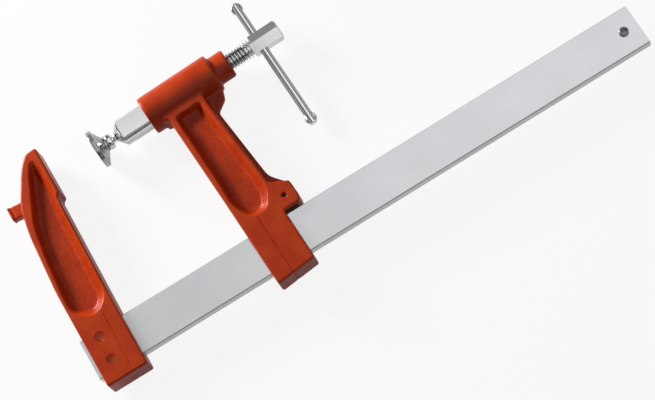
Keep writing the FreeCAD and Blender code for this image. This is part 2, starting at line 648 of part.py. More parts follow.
def make_screw_spindle():
    """Journal, coarse thread and hexagonal head in one, the thread running out on the head."""
    journal_r = PLUNGER_BORE_R - RUN_GAP
    groove_half = RETAINER_R + RETAINER_PLAY
    shaft = turned([
        (JOURNAL_END, 0), (JOURNAL_END, journal_r, 1.0),
        (RETAINER_U - groove_half, journal_r), (RETAINER_U - groove_half, GROOVE_R),
        (RETAINER_U + groove_half, GROOVE_R), (RETAINER_U + groove_half, journal_r),
        (THREAD_START, journal_r), (THREAD_START + 1, THREAD_R), (THREAD_END, THREAD_R), (THREAD_END, 0),
    ])
    over_corner = HEX_CORNER_R + PRESS_GAP
    envelope = turned([
        (THREAD_END, 0), (THREAD_END, THREAD_R), (THREAD_END + HEX_LEAD, over_corner),
        (HEX_END - HEX_CHAMFER, over_corner), (HEX_END, HEX_CORNER_R - HEX_CHAMFER_IN), (HEX_END, 0),
    ])
    head = head_turned(hexagon(HEX_FLATS, THREAD_END, HEX_END)).common(envelope)
    screw = shaft.fuse(head).cut(thread_groove(THREAD_START - THREAD_LEAD_IN, RUNOUT_END))
    hole = rod(TOMMY_R + TOMMY_GAP, (TOMMY_U, AXIS_V - HEX_FLATS, 0), (TOMMY_U, AXIS_V + HEX_FLATS, 0))
    return screw.cut(head_turned(hole))


# Tommy bar through the head, its ends pinched into ears
def make_tommy_bar():
    """A round rod with an ear pinched at each end, so that it can't slide out."""
    low, high = AXIS_V - TOMMY_DOWN, AXIS_V + TOMMY_UP
    bar = rod(TOMMY_R, (TOMMY_U, low, 0), (TOMMY_U, high, 0))
    bar = bar.makeFillet(TOMMY_END_ROUND, round_edges(bar))
    for middle in (low + EAR_INSET, high - EAR_INSET):
        ear = Part.makeSphere(EAR_R, Vector(TOMMY_U, middle, 0))
        flat = box(TOMMY_U - 2 * EAR_R, TOMMY_U + 2 * EAR_R, middle - 2 * EAR_R, middle + 2 * EAR_R,
                   -EAR_THICK / 2, EAR_THICK / 2)
        bar = bar.fuse(ear.common(flat))
    return head_turned(bar)


def make_all():
    """Every piece by name, set in the clamp's frame."""
    upper, lower = retainer_rods(RETAINER_R - PRESS_GAP)
    return {
        "bar": make_bar(),
        "bar_stop_pin": make_stop_pin(),
        "fixed_jaw": make_fixed_jaw(),
        "jaw_rivet_upper": make_rivet(RIVET_YS["upper"]),
        "jaw_rivet_lower": make_rivet(RIVET_YS["lower"]),
        "sliding_arm": on_bar(make_sliding_arm()),
        "screw_nut": on_bar(make_screw_nut()),
        "nut_lock_pin": on_bar(make_nut_lock_pin()),
        "brake_pin": on_bar(make_brake_pin()),
        "brake_spring": on_bar(make_brake_spring()),
        "brake_shoe": on_bar(make_brake_shoe()),
        "plunger_sleeve": on_bar(make_plunger_sleeve()),
        "ball_stud": on_bar(make_ball_stud()),
        "thrust_washer": on_bar(make_thrust_washer()),
        "retaining_pin_upper": on_bar(upper),
        "retaining_pin_lower": on_bar(lower),
        "swivel_pad": on_bar(make_swivel_pad()),
        "pad_collar": on_bar(make_pad_collar()),
        "screw_spindle": on_bar(make_screw_spindle()),
        "tommy_bar": on_bar(make_tommy_bar()),
    }


os.makedirs("parts", exist_ok=True)
for name, shape in make_all().items():
    solids = shape.Solids
    print("%-20s solids %d valid %s volume %.1f" % (name, len(solids), shape.isValid(), shape.Volume))
    whole = solids[0] if len(solids) == 1 else Part.Compound(solids)
    whole.exportStep("parts/%s.step" % name)
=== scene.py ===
"""The quick release bar clamp, dressed: enamelled castings, a drawn bar and a plated screw."""

import json
import logging
import math
from dataclasses import dataclass
from enum import Enum
from typing import Any, Iterable

import bmesh
import bpy
from mathutils import Matrix, Vector

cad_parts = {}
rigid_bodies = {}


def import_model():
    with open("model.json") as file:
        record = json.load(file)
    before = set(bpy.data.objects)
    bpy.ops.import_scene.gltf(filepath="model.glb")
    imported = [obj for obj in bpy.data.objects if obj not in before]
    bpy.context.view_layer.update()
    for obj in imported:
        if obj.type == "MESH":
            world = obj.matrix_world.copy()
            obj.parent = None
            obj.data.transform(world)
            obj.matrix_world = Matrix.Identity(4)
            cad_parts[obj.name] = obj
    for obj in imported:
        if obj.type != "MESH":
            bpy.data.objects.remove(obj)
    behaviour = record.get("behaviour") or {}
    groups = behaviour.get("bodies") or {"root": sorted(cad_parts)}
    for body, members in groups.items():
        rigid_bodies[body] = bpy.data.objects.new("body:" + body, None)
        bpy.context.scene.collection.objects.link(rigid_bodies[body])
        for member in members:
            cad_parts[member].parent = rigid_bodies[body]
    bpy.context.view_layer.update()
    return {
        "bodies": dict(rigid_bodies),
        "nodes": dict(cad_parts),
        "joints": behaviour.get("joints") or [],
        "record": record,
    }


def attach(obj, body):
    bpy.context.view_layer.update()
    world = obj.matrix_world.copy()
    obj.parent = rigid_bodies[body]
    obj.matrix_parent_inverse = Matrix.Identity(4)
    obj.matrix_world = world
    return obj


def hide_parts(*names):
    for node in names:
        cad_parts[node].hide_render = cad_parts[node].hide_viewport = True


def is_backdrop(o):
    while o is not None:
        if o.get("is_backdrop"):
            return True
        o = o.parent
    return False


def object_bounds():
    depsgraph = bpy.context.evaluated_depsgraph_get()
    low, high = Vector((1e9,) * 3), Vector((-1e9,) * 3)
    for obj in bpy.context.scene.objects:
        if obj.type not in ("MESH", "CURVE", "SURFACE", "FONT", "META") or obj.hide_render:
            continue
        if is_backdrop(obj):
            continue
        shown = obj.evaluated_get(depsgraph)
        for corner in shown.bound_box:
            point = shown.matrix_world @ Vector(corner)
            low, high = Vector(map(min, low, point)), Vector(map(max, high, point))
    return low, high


LOG = logging.getLogger("bar_clamp")
MM = 0.001
# The photograph's width in pixels, and the width of film that the camera's lens is given for
IMAGE_WIDTH = 655
SENSOR_MM = 36.0

# The castings' half thickness and the arm's own frame, as the solids have them
CAST_HALF = 12.0
ARM_X = 142.0
BAR_MID = -171.0
ARM_LEAN_DEG = 2.15
BARREL_AXIS = 171.0

# Corners of a solid's loose triangles that lie closer than this are one corner
WELD_MM = 0.002
# How far a seam's cutter stands over the face that it cuts, and past the end of the casting
OVER_FACE_MM = 0.2
PAST_END_MM = 1.0

Colour = tuple[float, float, float, float]
Point = tuple[float, float, float]
Flat = tuple[float, float]
Span = tuple[float, float]
UNIT: Span = (0.0, 1.0)


class Lay(Enum):
    """The way that a metal's drawn or polished lines run."""

    ALONG_BAR = "along the bar"
    ALL_WAYS = "all ways"


class Body(Enum):
    """The bodies that carry a piece made here."""

    FRAME = "frame"
    ARM = "arm"
    PLUNGER = "plunger"
    SCREW = "screw"
    HANDLE = "handle"
    PAD = "pad"


def linear(hex_code: str) -> Colour:
    """Turn an sRGB hex code into a linear colour.

    Args:
        hex_code: six hex digits after a hash sign.

    Returns:
        Linear red, green, blue and an alpha of 1.
    """
    values = [int(hex_code[i : i + 2], 16) / 255 for i in (1, 3, 5)]
    lit = [v / 12.92 if v <= 0.04045 else ((v + 0.055) / 1.055) ** 2.4 for v in values]
    return (lit[0], lit[1], lit[2], 1.0)


def per_metre(size_mm: float) -> float:
    """The texture scale at which one feature is size_mm wide."""
    return 1.0 / (size_mm * MM)


def spans(given: Span, made: Span = UNIT) -> dict[str, float]:
    """The socket values that turn one span of numbers into another."""
    return {"From Min": given[0], "From Max": given[1], "To Min": made[0], "To Max": made[1]}


def arm_place(along: float, across: float) -> Flat:
    """Turn a point of the arm's own frame into one of the clamp's.

    Args:
        along: millimetres toward the bar's free end.
        across: millimetres from the bar's middle toward the screw.

    Returns:
        The point's x and y in the clamp's frame, in millimetres.
    """
    lean = math.radians(ARM_LEAN_DEG)
    x = ARM_X + along * math.cos(lean) - across * math.sin(lean)
    y = BAR_MID + along * math.sin(lean) + across * math.cos(lean)
    return (x, y)


def add_node(
    tree: bpy.types.NodeTree,
    kind: str,
    settings: dict[str, Any] | None = None,
    values: dict[Any, Any] | None = None,
    links: dict[Any, bpy.types.NodeSocket] | None = None,
) -> bpy.types.Node:
    """Add one node with its settings, socket values and incoming links.

    Args:
        tree: the node tree that takes the node.
        kind: the node's type name.
        settings: attributes of the node itself.
        values: default values, by socket name or number.
        links: sockets that feed this node, by input name or number.

    Returns:
        The new node.
    """
    node = tree.nodes.new(kind)
    for name, value in (settings or {}).items():
        setattr(node, name, value)
    for name, value in (values or {}).items():
        node.inputs[name].default_value = value
    for name, source in (links or {}).items():
        tree.links.new(source, node.inputs[name])
    return node


def blank_material(name: str) -> tuple[bpy.types.Material, bpy.types.NodeTree]:
    """A new material with an empty node tree.

    Args:
        name: the material's name.

    Returns:
        The material and its tree.
    """
    material = bpy.data.materials.new(name)
    material.use_nodes = True
    material.node_tree.nodes.clear()
    return material, material.node_tree


@dataclass(frozen=True)
class Cloud:
    """One layer of cloudy noise, and how wide its features are in millimetres."""

    size_mm: float
    detail: float
    rough: float = 0.5

    def values(self) -> dict[str, float]:
        """The noise's socket values."""
        return {"Scale": per_metre(self.size_mm), "Detail": self.detail, "Roughness": self.rough}


@dataclass(frozen=True)
class CastEnamel:
    """Orange-red enamel sprayed on a sand casting: glossy, with the cast skin's grain under it and
    painted shade in the pits of its recesses.
    """

    name: str = "cast_enamel"
    colour: str = "#B63408"
    shade: str = "#801E05"
    thin: str = "#C74310"
    # The sand's grain is about 0.4 mm, too fine to show here, so it is drawn coarser
    grain: Cloud = Cloud(1.4, 3.0)
    pits: Cloud = Cloud(1.8, 5.0, 0.65)
    flow: Cloud = Cloud(20.0, 5.0, 0.55)
    relief_mm: float = 0.3
    # Heights over the mid plane where the ribs' faces end and the recesses' floors begin
    face_mm: float = 11.6
    floor_mm: float = 6.0
    face_bump: float = 0.30
    floor_bump: float = 0.50
    # Where the paint ran thin, and where the pits of the recesses take painted shade
    flow_span: Span = (0.38, 0.62)
    thin_share: Span = (0.0, 0.8)
    pit_span: Span = (0.55, 0.36)
    shade_share: Span = (0.0, 0.55)
    rough: Span = (0.24, 0.42)
    ior: float = 1.5
    # The sprayed skin mirrors less than a flat coat would
    mirror_level: float = 0.22

    def make(self) -> bpy.types.Material:
        """Mix the enamel: smooth on the ribs' faces, pitted in the recesses, with painted shade in
        their pits.

        Returns:
            The finished material.
        """
        material, tree = blank_material(self.name)
        place = add_node(tree, "ShaderNodeTexCoord").outputs["Object"]
        axes = add_node(tree, "ShaderNodeSeparateXYZ", links={0: place})
        height = add_node(
            tree, "ShaderNodeMath", {"operation": "ABSOLUTE"}, links={0: axes.outputs["Z"]}
        )
        depth = add_node(
            tree,
            "ShaderNodeMapRange",
            {"interpolation_type": "SMOOTHSTEP"},
            spans((self.face_mm * MM, self.floor_mm * MM)),
            {"Value": height.outputs[0]},
        )
        grain, pits, flow = [
            add_node(tree, "ShaderNodeTexNoise", values=layer.values(), links={"Vector": place})
            for layer in (self.grain, self.pits, self.flow)
        ]
        relief = add_node(
            tree,
            "ShaderNodeMix",
            {"data_type": "FLOAT"},
            links={0: depth.outputs[0], 2: grain.outputs["Fac"], 3: pits.outputs["Fac"]},
        )
        strength = add_node(
            tree,
            "ShaderNodeMapRange",
            values=spans(UNIT, (self.face_bump, self.floor_bump)),
            links={"Value": depth.outputs[0]},
        )
        bump = add_node(
            tree,
            "ShaderNodeBump",
            values={"Distance": self.relief_mm * MM},
            links={"Height": relief.outputs[0], "Strength": strength.outputs[0]},
        )
        patches = add_node(
            tree,
            "ShaderNodeMapRange",
            values=spans(self.flow_span, self.thin_share),
            links={"Value": flow.outputs["Fac"]},
        )
        body = add_node(
            tree,
            "ShaderNodeMix",
            {"data_type": "RGBA"},
            {6: linear(self.colour), 7: linear(self.thin)},
            {0: patches.outputs[0]},
        )
        hollow = add_node(
            tree,
            "ShaderNodeMapRange",
            values=spans(self.pit_span, self.shade_share),
            links={"Value": pits.outputs["Fac"]},
        )
        # Painted shade: the pits of the recesses' floors are darkened toward the shade colour
        painted_floor_shade = add_node(
            tree,
            "ShaderNodeMath",
            {"operation": "MULTIPLY"},
            links={0: hollow.outputs[0], 1: depth.outputs[0]},
        )
        paint = add_node(
            tree,
            "ShaderNodeMix",
            {"data_type": "RGBA"},
            {7: linear(self.shade)},
            {0: painted_floor_shade.outputs[0], 6: body.outputs[2]},
        )
        gloss = add_node(
            tree,
            "ShaderNodeMapRange",
            values=spans(UNIT, self.rough),
            links={"Value": pits.outputs["Fac"]},
        )
        shader = add_node(
            tree,
            "ShaderNodeBsdfPrincipled",
            values={"IOR": self.ior, "Specular IOR Level": self.mirror_level},
            links={
                "Base Color": paint.outputs[2],
                "Roughness": gloss.outputs[0],
                "Normal": bump.outputs[0],
            },
        )
        add_node(tree, "ShaderNodeOutputMaterial", links={"Surface": shader.outputs[0]})
        return material


@dataclass(frozen=True)
class ThreadRootShade:
    """Painted shade in the screw's thread, darker toward its root, by distance from its axis, in
    millimetres.
    """

    root: float = 6.5
    crest: float = 7.9
    end: float = 66.4
    colour: str = "#8C8D8E"

    def share(self, tree: bpy.types.NodeTree, place: bpy.types.NodeSocket) -> bpy.types.NodeSocket:
        """One at the thread's root, and nothing at its crests or on the head.

        Args:
            tree: the node tree of the screw's material.
            place: the object coordinates.

        Returns:
            The socket that gives the share of painted shade.
        """
        foot_x, foot_y = arm_place(0.0, BARREL_AXIS)
        lean = math.radians(ARM_LEAN_DEG)
        way = (math.cos(lean), math.sin(lean), 0.0)
        reach = add_node(
            tree,
            "ShaderNodeVectorMath",
            {"operation": "SUBTRACT"},
            {1: (foot_x * MM, foot_y * MM, 0.0)},
            {0: place},
        ).outputs["Vector"]
        aside, along = [
            add_node(tree, "ShaderNodeVectorMath", {"operation": step}, {1: way}, {0: reach})
            for step in ("CROSS_PRODUCT", "DOT_PRODUCT")
        ]
        radius = add_node(
            tree,
            "ShaderNodeVectorMath",
            {"operation": "LENGTH"},
            links={0: aside.outputs["Vector"]},
        )
        deep = add_node(
            tree,
            "ShaderNodeMapRange",
            values=spans((self.crest * MM, self.root * MM)),
            links={"Value": radius.outputs["Value"]},
        )
        threaded = add_node(
            tree,
            "ShaderNodeMath",
            {"operation": "LESS_THAN"},
            {1: self.end * MM},
            {0: along.outputs["Value"]},
        )
        share = add_node(
            tree,
            "ShaderNodeMath",
            {"operation": "MULTIPLY"},
            links={0: deep.outputs[0], 1: threaded.outputs[0]},
        )
        return share.outputs[0]


@dataclass(frozen=True)
class WorkedSteel:
    """Steel with the fine lines that drawing, turning or polishing leaves."""

    name: str
    colour: str
    dull: str
    rough: Span
    # Real lines are about 0.1 mm apart, too fine to show here, so they are drawn coarser
    lines: Cloud = Cloud(2.0, 4.0, 0.6)
    relief_mm: float = 0.002
    lay: Lay = Lay.ALL_WAYS
    stretch: float = 1.0
    cloud: Cloud = Cloud(45.0, 2.0)
    root_shade: ThreadRootShade | None = None
    # Where the duller metal gives way to the bright, and where a line is dull or bright
    tone_span: Span = (0.12, 0.42)
    line_span: Span = (0.3, 0.7)
    bump: float = 0.4

    def make(self) -> bpy.types.Material:
        """Finish the steel: lines along its lay, and a faint cloud of duller metal.

        Returns:
            The finished material.
        """
        material, tree = blank_material(self.name)
        place = add_node(tree, "ShaderNodeTexCoord").outputs["Object"]
        along_bar = 1.0 / self.stretch if self.lay is Lay.ALONG_BAR else 1.0
        mapped = add_node(
            tree,
            "ShaderNodeMapping",
            values={"Scale": (along_bar, 1.0, 1.0)},
            links={"Vector": place},
        )
        lines = add_node(
            tree,
            "ShaderNodeTexNoise",
            values=self.lines.values(),
            links={"Vector": mapped.outputs[0]},
        )
        cloud = add_node(
            tree, "ShaderNodeTexNoise", values=self.cloud.values(), links={"Vector": place}
        )
        both = add_node(
            tree,
            "ShaderNodeMath",
            {"operation": "MULTIPLY"},
            links={0: lines.outputs["Fac"], 1: cloud.outputs["Fac"]},
        )
        share = add_node(
            tree,
            "ShaderNodeMapRange",
            values=spans(self.tone_span),
            links={"Value": both.outputs[0]},
        )
        tone = add_node(
            tree,
            "ShaderNodeMix",
            {"data_type": "RGBA"},
            {6: linear(self.dull), 7: linear(self.colour)},
            {0: share.outputs[0]},
        ).outputs[2]
        # Painted shade: the thread's root is darkened by distance from the screw's axis
        if self.root_shade is not None:
            tone = add_node(
                tree,
                "ShaderNodeMix",
                {"data_type": "RGBA"},
                {7: linear(self.root_shade.colour)},
                {0: self.root_shade.share(tree, place), 6: tone},
            ).outputs[2]
        rough = add_node(
            tree,
            "ShaderNodeMapRange",
            values=spans(self.line_span, self.rough),
            links={"Value": lines.outputs["Fac"]},
        )
        bump = add_node(
            tree,
            "ShaderNodeBump",
            values={"Strength": self.bump, "Distance": self.relief_mm * MM},
            links={"Height": lines.outputs["Fac"]},
        )
        shader = add_node(
            tree,
            "ShaderNodeBsdfPrincipled",
            values={"Metallic": 1.0},
            links={"Base Color": tone, "Roughness": rough.outputs[0], "Normal": bump.outputs[0]},
        )
        add_node(tree, "ShaderNodeOutputMaterial", links={"Surface": shader.outputs[0]})
        return material


@dataclass(frozen=True)
class MouldedNylon:
    """Black moulded nylon of the brake shoe: matte, with a faint grain."""

    name: str = "moulded_nylon"
    colour: str = "#151617"
    worn: str = "#2A2C2D"
    grain: Cloud = Cloud(0.8, 3.0)
    relief_mm: float = 0.1
    bump: float = 0.3
    rough: float = 0.62
    ior: float = 1.53

    def make(self) -> bpy.types.Material:
        """Mould the nylon, a little greyer where its grain stands up.

        Returns:
            The finished material.
        """
        material, tree = blank_material(self.name)
        place = add_node(tree, "ShaderNodeTexCoord").outputs["Object"]
        grain = add_node(
            tree, "ShaderNodeTexNoise", values=self.grain.values(), links={"Vector": place}
        )
        tone = add_node(
            tree,
            "ShaderNodeMix",
            {"data_type": "RGBA"},
            {6: linear(self.colour), 7: linear(self.worn)},
            {0: grain.outputs["Fac"]},
        )
        bump = add_node(
            tree,
            "ShaderNodeBump",
            values={"Strength": self.bump, "Distance": self.relief_mm * MM},
            links={"Height": grain.outputs["Fac"]},
        )
        shader = add_node(
            tree,
            "ShaderNodeBsdfPrincipled",
            values={"Roughness": self.rough, "IOR": self.ior},
            links={"Base Color": tone.outputs[2], "Normal": bump.outputs[0]},
        )
        add_node(tree, "ShaderNodeOutputMaterial", links={"Surface": shader.outputs[0]})
        return material


# Cold-drawn bar: pale and dull-bright, with faint long lines along its length
DRAWN_BAR = WorkedSteel(
    name="drawn_bar_steel",
    colour="#DDDEDF",
    dull="#D4D5D6",
    rough=(0.28, 0.34),
    lines=Cloud(0.7, 4.0, 0.6),
    relief_mm=0.003,
    lay=Lay.ALONG_BAR,
    stretch=90.0,
)
# Bright zinc plate on turned steel: clear reflections with a soft edge
BRIGHT_ZINC = WorkedSteel("bright_zinc_plate", "#E6E6E7", "#DADBDC", rough=(0.11, 0.17))
# The pressure pad's ground steel, greyer and duller than the plate
PAD_STEEL = WorkedSteel("ground_pad_steel", "#AEAFB1", "#939496", rough=(0.20, 0.30))
# The same plate on the screw, with painted shade at the root of its thread
ROOT_SHADED_ZINC = WorkedSteel(
    "zinc_plate_painted_root_shade", "#E6E6E7", "#DADBDC", rough=(0.12, 0.18), root_shade=ThreadRootShade()
)
# The rivets' heads of hammered steel under the enamel, painted darker as painted shade in their
# shallow dishes
SHADED_RIVET_ENAMEL = CastEnamel(
    "rivet_enamel_painted_shade", colour="#962C0A", shade="#5E1806", thin="#A63A10", face_bump=0.4
)
# Plain turned steel inside, and the black-oxided cross pin: grey and dull, with turning marks
TURNING_MARKS = Cloud(1.2, 4.0, 0.6)
PLAIN_STEEL = WorkedSteel(
    "plain_turned_steel",
    "#8C8D8F",
    "#6F7073",
    rough=(0.30, 0.45),
    lines=TURNING_MARKS,
    relief_mm=0.01,
)
DARK_STEEL = WorkedSteel(
    "oxided_pin_steel",
    "#3A3433",
    "#241F1E",
    rough=(0.40, 0.55),
    lines=TURNING_MARKS,
    relief_mm=0.01,
)


@dataclass
class Wardrobe:
    """The finishes, made once, and the nodes that wear each."""

    enamel: bpy.types.Material
    # The rivets' enamel is painted darker, as painted shade in their dishes
    rivet: bpy.types.Material
    bar: bpy.types.Material
    zinc: bpy.types.Material
    pad: bpy.types.Material
    screw: bpy.types.Material
    plain: bpy.types.Material
    dark: bpy.types.Material
    nylon: bpy.types.Material

    @classmethod
    def stocked(cls) -> "Wardrobe":
        """Make every finish.

        Returns:
            A wardrobe that holds them all.
        """
        return cls(
            enamel=CastEnamel().make(),
            rivet=SHADED_RIVET_ENAMEL.make(),
            bar=DRAWN_BAR.make(),
            zinc=BRIGHT_ZINC.make(),
            pad=PAD_STEEL.make(),
            screw=ROOT_SHADED_ZINC.make(),
            plain=PLAIN_STEEL.make(),
            dark=DARK_STEEL.make(),
            nylon=MouldedNylon().make(),
        )

    def worn(self) -> dict[str, bpy.types.Material]:
        """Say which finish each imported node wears.

        Returns:
            The finishes, by the name of the node.
        """
        return {
            "bar": self.bar,
            "bar_stop_pin": self.plain,
            "fixed_jaw": self.enamel,
            "jaw_rivet_upper": self.rivet,
            "jaw_rivet_lower": self.rivet,
            "sliding_arm": self.enamel,
            "screw_nut": self.plain,
            "nut_lock_pin": self.plain,
            "brake_pin": self.dark,
            "brake_spring": self.plain,
            "brake_shoe": self.nylon,
            "plunger_sleeve": self.zinc,
            "ball_stud": self.zinc,
            "thrust_washer": self.plain,
            "retaining_pin_upper": self.zinc,
            "retaining_pin_lower": self.zinc,
            "swivel_pad": self.pad,
            "pad_collar": self.zinc,
            "screw_spindle": self.screw,
            "tommy_bar": self.zinc,
        }

    def dress(self, frame: dict[str, Any]) -> None:
        """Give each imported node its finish.
        """
        for name, material in self.worn().items():
            wear(frame["nodes"][name], material)
            LOG.info("dressed %s in %s", name, material.name)


def wear(node: bpy.types.Object, material: bpy.types.Material) -> None:
    """Give every material slot of an object one material.

    Args:
        node: the object to dress.
        material: its new finish.
    """
    if not node.material_slots:
        node.data.materials.append(material)
    for slot in node.material_slots:
        slot.material = material


@dataclass(frozen=True)
class Seam:
    """The joint line of a casting's mould: a V along a flat face, in millimetres."""

    top: Flat
    bottom: Flat
    width: float
    depth: float

    def cutters(self) -> list[bpy.types.Object]:
        """The cutters of the line down both faces and across the foot."""
        return [self.groove(1.0), self.groove(-1.0), self.notch()]

    @property
    def run(self) -> Vector:
        """The seam's direction, one millimetre long."""
        return (Vector(self.bottom) - Vector(self.top)).normalized()

    @property
    def side(self) -> Vector:
        """From the seam's middle to its edge."""
        return Vector((-self.run.y, self.run.x)) * 0.5 * self.width

    def groove(self, up: float) -> bpy.types.Object:
        """Make the bar of V section that cuts one face, from the seam's top to past its bottom.

        Args:
            up: 1 for the upper face, and -1 for the lower.

        Returns:
            An object that only cuts.
        """
        start = Vector(self.top)
        rim = up * (CAST_HALF + OVER_FACE_MM)
        root = up * (CAST_HALF - self.depth)
        corners = [(start - self.side, rim), (start + self.side, rim), (start, root)]
        way = Vector(self.bottom) + self.run * PAST_END_MM - start
        section = [Vector((*point, height)) * MM for point, height in corners]
        return drawn_solid(section, Vector((*way, 0.0)) * MM)

    def notch(self) -> bpy.types.Object:
        """Make the V up the casting's end face, where the two halves of the mould met.

        Returns:
            An object that only cuts.
        """
        end = Vector(self.bottom)
        past = end + self.run * PAST_END_MM
        corners = [past - self.side, past + self.side, end - self.run * self.depth]
        height = CAST_HALF + PAST_END_MM
        section = [Vector((*point, -height)) * MM for point in corners]
        return drawn_solid(section, Vector((0.0, 0.0, 2.0 * height)) * MM)


@dataclass(frozen=True)
class GuideBore:
    """The barrel's guide for the plunger, round with two flats, in the arm's millimetres."""

    radius: float = 12.7
    flat: float = 9.7
    front: float = -38.0
    back: float = 27.0
    segments: int = 128

    def cutters(self) -> list[bpy.types.Object]:
        """Make the rod with two flats that cuts the guide clean in the softened casting.

        Returns:
            The one object that cuts it.
        """
        middle = Vector((*arm_place(0.5 * (self.front + self.back), BARREL_AXIS), 0.0)) * MM
        laid_along = Matrix.Rotation(math.radians(90.0), 4, "Y")
        leant = Matrix.Rotation(math.radians(ARM_LEAN_DEG), 4, "Z")
        shape = bmesh.new()
        bmesh.ops.create_cone(
            shape,
            cap_ends=True,
            segments=self.segments,
            radius1=self.radius * MM,
            radius2=self.radius * MM,
            depth=(self.back - self.front) * MM,
            matrix=Matrix.Translation(middle) @ leant @ laid_along,
        )
        for side in (1.0, -1.0):
            whole = [*shape.verts, *shape.edges, *shape.faces]
            level = (0.0, 0.0, side * self.flat * MM)
            cut = bmesh.ops.bisect_plane(
                shape, geom=whole, plane_co=level, plane_no=(0.0, 0.0, side), clear_outer=True
            )
            rim = [part for part in cut["geom_cut"] if isinstance(part, bmesh.types.BMEdge)]
            bmesh.ops.contextual_create(shape, geom=rim)
        return [cutter_from(shape)]


def drawn_solid(section: list[Vector], way: Vector) -> bpy.types.Object:
    """Draw a flat section out into a closed solid.

    Args:
        section: the section's corners.
        way: where it is drawn, and how far.

    Returns:
        The solid, as an object that only cuts.
    """
    shape = bmesh.new()
    face = shape.faces.new([shape.verts.new(corner) for corner in section])
    drawn = bmesh.ops.extrude_face_region(shape, geom=[face])["geom"]
    moved = [part for part in drawn if isinstance(part, bmesh.types.BMVert)]
    bmesh.ops.translate(shape, verts=moved, vec=way)
    return cutter_from(shape)


def cutter_from(shape: bmesh.types.BMesh) -> bpy.types.Object:
    """Turn a closed shape into an object that only cuts.

    Args:
        shape: the mesh in the making, which this frees.

    Returns:
        An object that isn't part of the clamp.
    """
    bmesh.ops.recalc_face_normals(shape, faces=shape.faces)
    mesh = bpy.data.meshes.new("cutter")
    shape.to_mesh(mesh)
    shape.free()
    cutter = bpy.data.objects.new("cutter", mesh)
    bpy.context.scene.collection.objects.link(cutter)
    return cutter


def merged_copy(source: bpy.types.Object, name: str) -> bpy.types.Object:
    """A copy of a solid's mesh with its corners joined, as an object of its own.

    Args:
        source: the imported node.
        name: the copy's name.

    Returns:
        The new object.
    """
    mesh = source.data.copy()
    mesh.name = name
    shape = bmesh.new()
    shape.from_mesh(mesh)
    bmesh.ops.remove_doubles(shape, verts=shape.verts, dist=WELD_MM * MM)
    shape.to_mesh(mesh)
    shape.free()
    piece = bpy.data.objects.new(name, mesh)
    bpy.context.scene.collection.objects.link(piece)
    return piece


def shade_round(mesh: bpy.types.Mesh, sharp_deg: float) -> None:
    """Shade a mesh smooth, but for its sharp edges.

    Args:
        mesh: the mesh to shade.
        sharp_deg: the angle between two faces past which their edge is sharp.
    """
    for face in mesh.polygons:
        face.use_smooth = True
    mesh.set_sharp_from_angle(angle=math.radians(sharp_deg))


@dataclass(frozen=True)
class TurnedPiece:
    """A turned and plated piece: the solid's own form, with round faces that mirror smoothly."""

    node: str
    body: Body
    sharp_deg: float = 28.0

    def build(self, frame: dict[str, Any]) -> bpy.types.Object:
        """Make the piece and let it stand for its node.


        Returns:
            The new piece.
        """
        piece = merged_copy(frame["nodes"][self.node], f"{self.node}_plated")
        shade_round(piece.data, self.sharp_deg)
        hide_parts(self.node)
        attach(piece, self.body.value)
        return piece

    def dress(self, piece: bpy.types.Object, wardrobe: Wardrobe) -> None:
        """Give the piece its node's finish."""
        wear(piece, wardrobe.worn()[self.node])


@dataclass
class Casting:
    """A sand casting: the solid's own form, with every edge drawn soft as in the mould."""

    node: str
    body: Body
    cuts: tuple[Seam | GuideBore, ...]
    voxel_mm: float
    passes: int = 5
    ease: float = 0.6
    sharp_deg: float = 38.0

    def build(self, frame: dict[str, Any]) -> bpy.types.Object:
        """Make the softened casting and let it stand for its node.


        Returns:
            The new piece.
        """
        piece = merged_copy(frame["nodes"][self.node], f"{self.node}_cast")
        remesh = piece.modifiers.new("skin", "REMESH")
        remesh.mode = "VOXEL"
        remesh.voxel_size = self.voxel_mm * MM
        soften = piece.modifiers.new("soften", "SMOOTH")
        soften.factor = self.ease
        soften.iterations = self.passes
        cutters = [cutter for cut in self.cuts for cutter in cut.cutters()]
        for cutter in cutters:
            carve = piece.modifiers.new("carve", "BOOLEAN")
            carve.operation = "DIFFERENCE"
            carve.object = cutter
        self.bake(piece)
        for cutter in cutters:
            bpy.data.objects.remove(cutter)
        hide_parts(self.node)
        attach(piece, self.body.value)
        return piece

    def dress(self, piece: bpy.types.Object, wardrobe: Wardrobe) -> None:
        """Give the casting its node's finish."""
        wear(piece, wardrobe.worn()[self.node])

    def bake(self, piece: bpy.types.Object) -> None:
        """Bake a piece's modifiers into its mesh, smooth but for the seams' edges.

        Args:
            piece: the casting with its modifiers.
        """
        graph = bpy.context.evaluated_depsgraph_get()
        baked = bpy.data.meshes.new_from_object(piece.evaluated_get(graph))
        piece.modifiers.clear()
        piece.data = baked
        shade_round(baked, self.sharp_deg)


@dataclass(frozen=True)
class Lamp:
    """A square soft box."""

    name: str
    at: Point
    size: float
    power: float
    aim: Point = (0.12, -0.08, 0.0)

    def light(self) -> bpy.types.Object:
        """Hang the lamp and turn it to its aim.

        Returns:
            The lamp.
        """
        data = bpy.data.lights.new(self.name, "AREA")
        data.shape = "SQUARE"
        data.size = self.size
        data.energy = self.power
        lamp = bpy.data.objects.new(self.name, data)
        lamp.location = self.at
        line = Vector(self.aim) - Vector(self.at)
        lamp.rotation_euler = line.to_track_quat("-Z", "Y").to_euler()
        bpy.context.scene.collection.objects.link(lamp)
        return lamp


KEY = Lamp("key_lamp", at=(-0.68, 1.19, 0.58), size=0.50, power=40.0)
FILL = Lamp("fill_lamp", at=(0.7, -1.0, 1.3), size=1.0, power=3.5)

# The room's walls from the floor up: a dark skirting, a white strip, a dark flag under the ceiling
ROOM_BANDS = [(0.0, 0.06), (0.16, 0.06), (0.26, 0.85), (0.44, 0.75), (0.56, 0.06), (0.76, 0.06)]


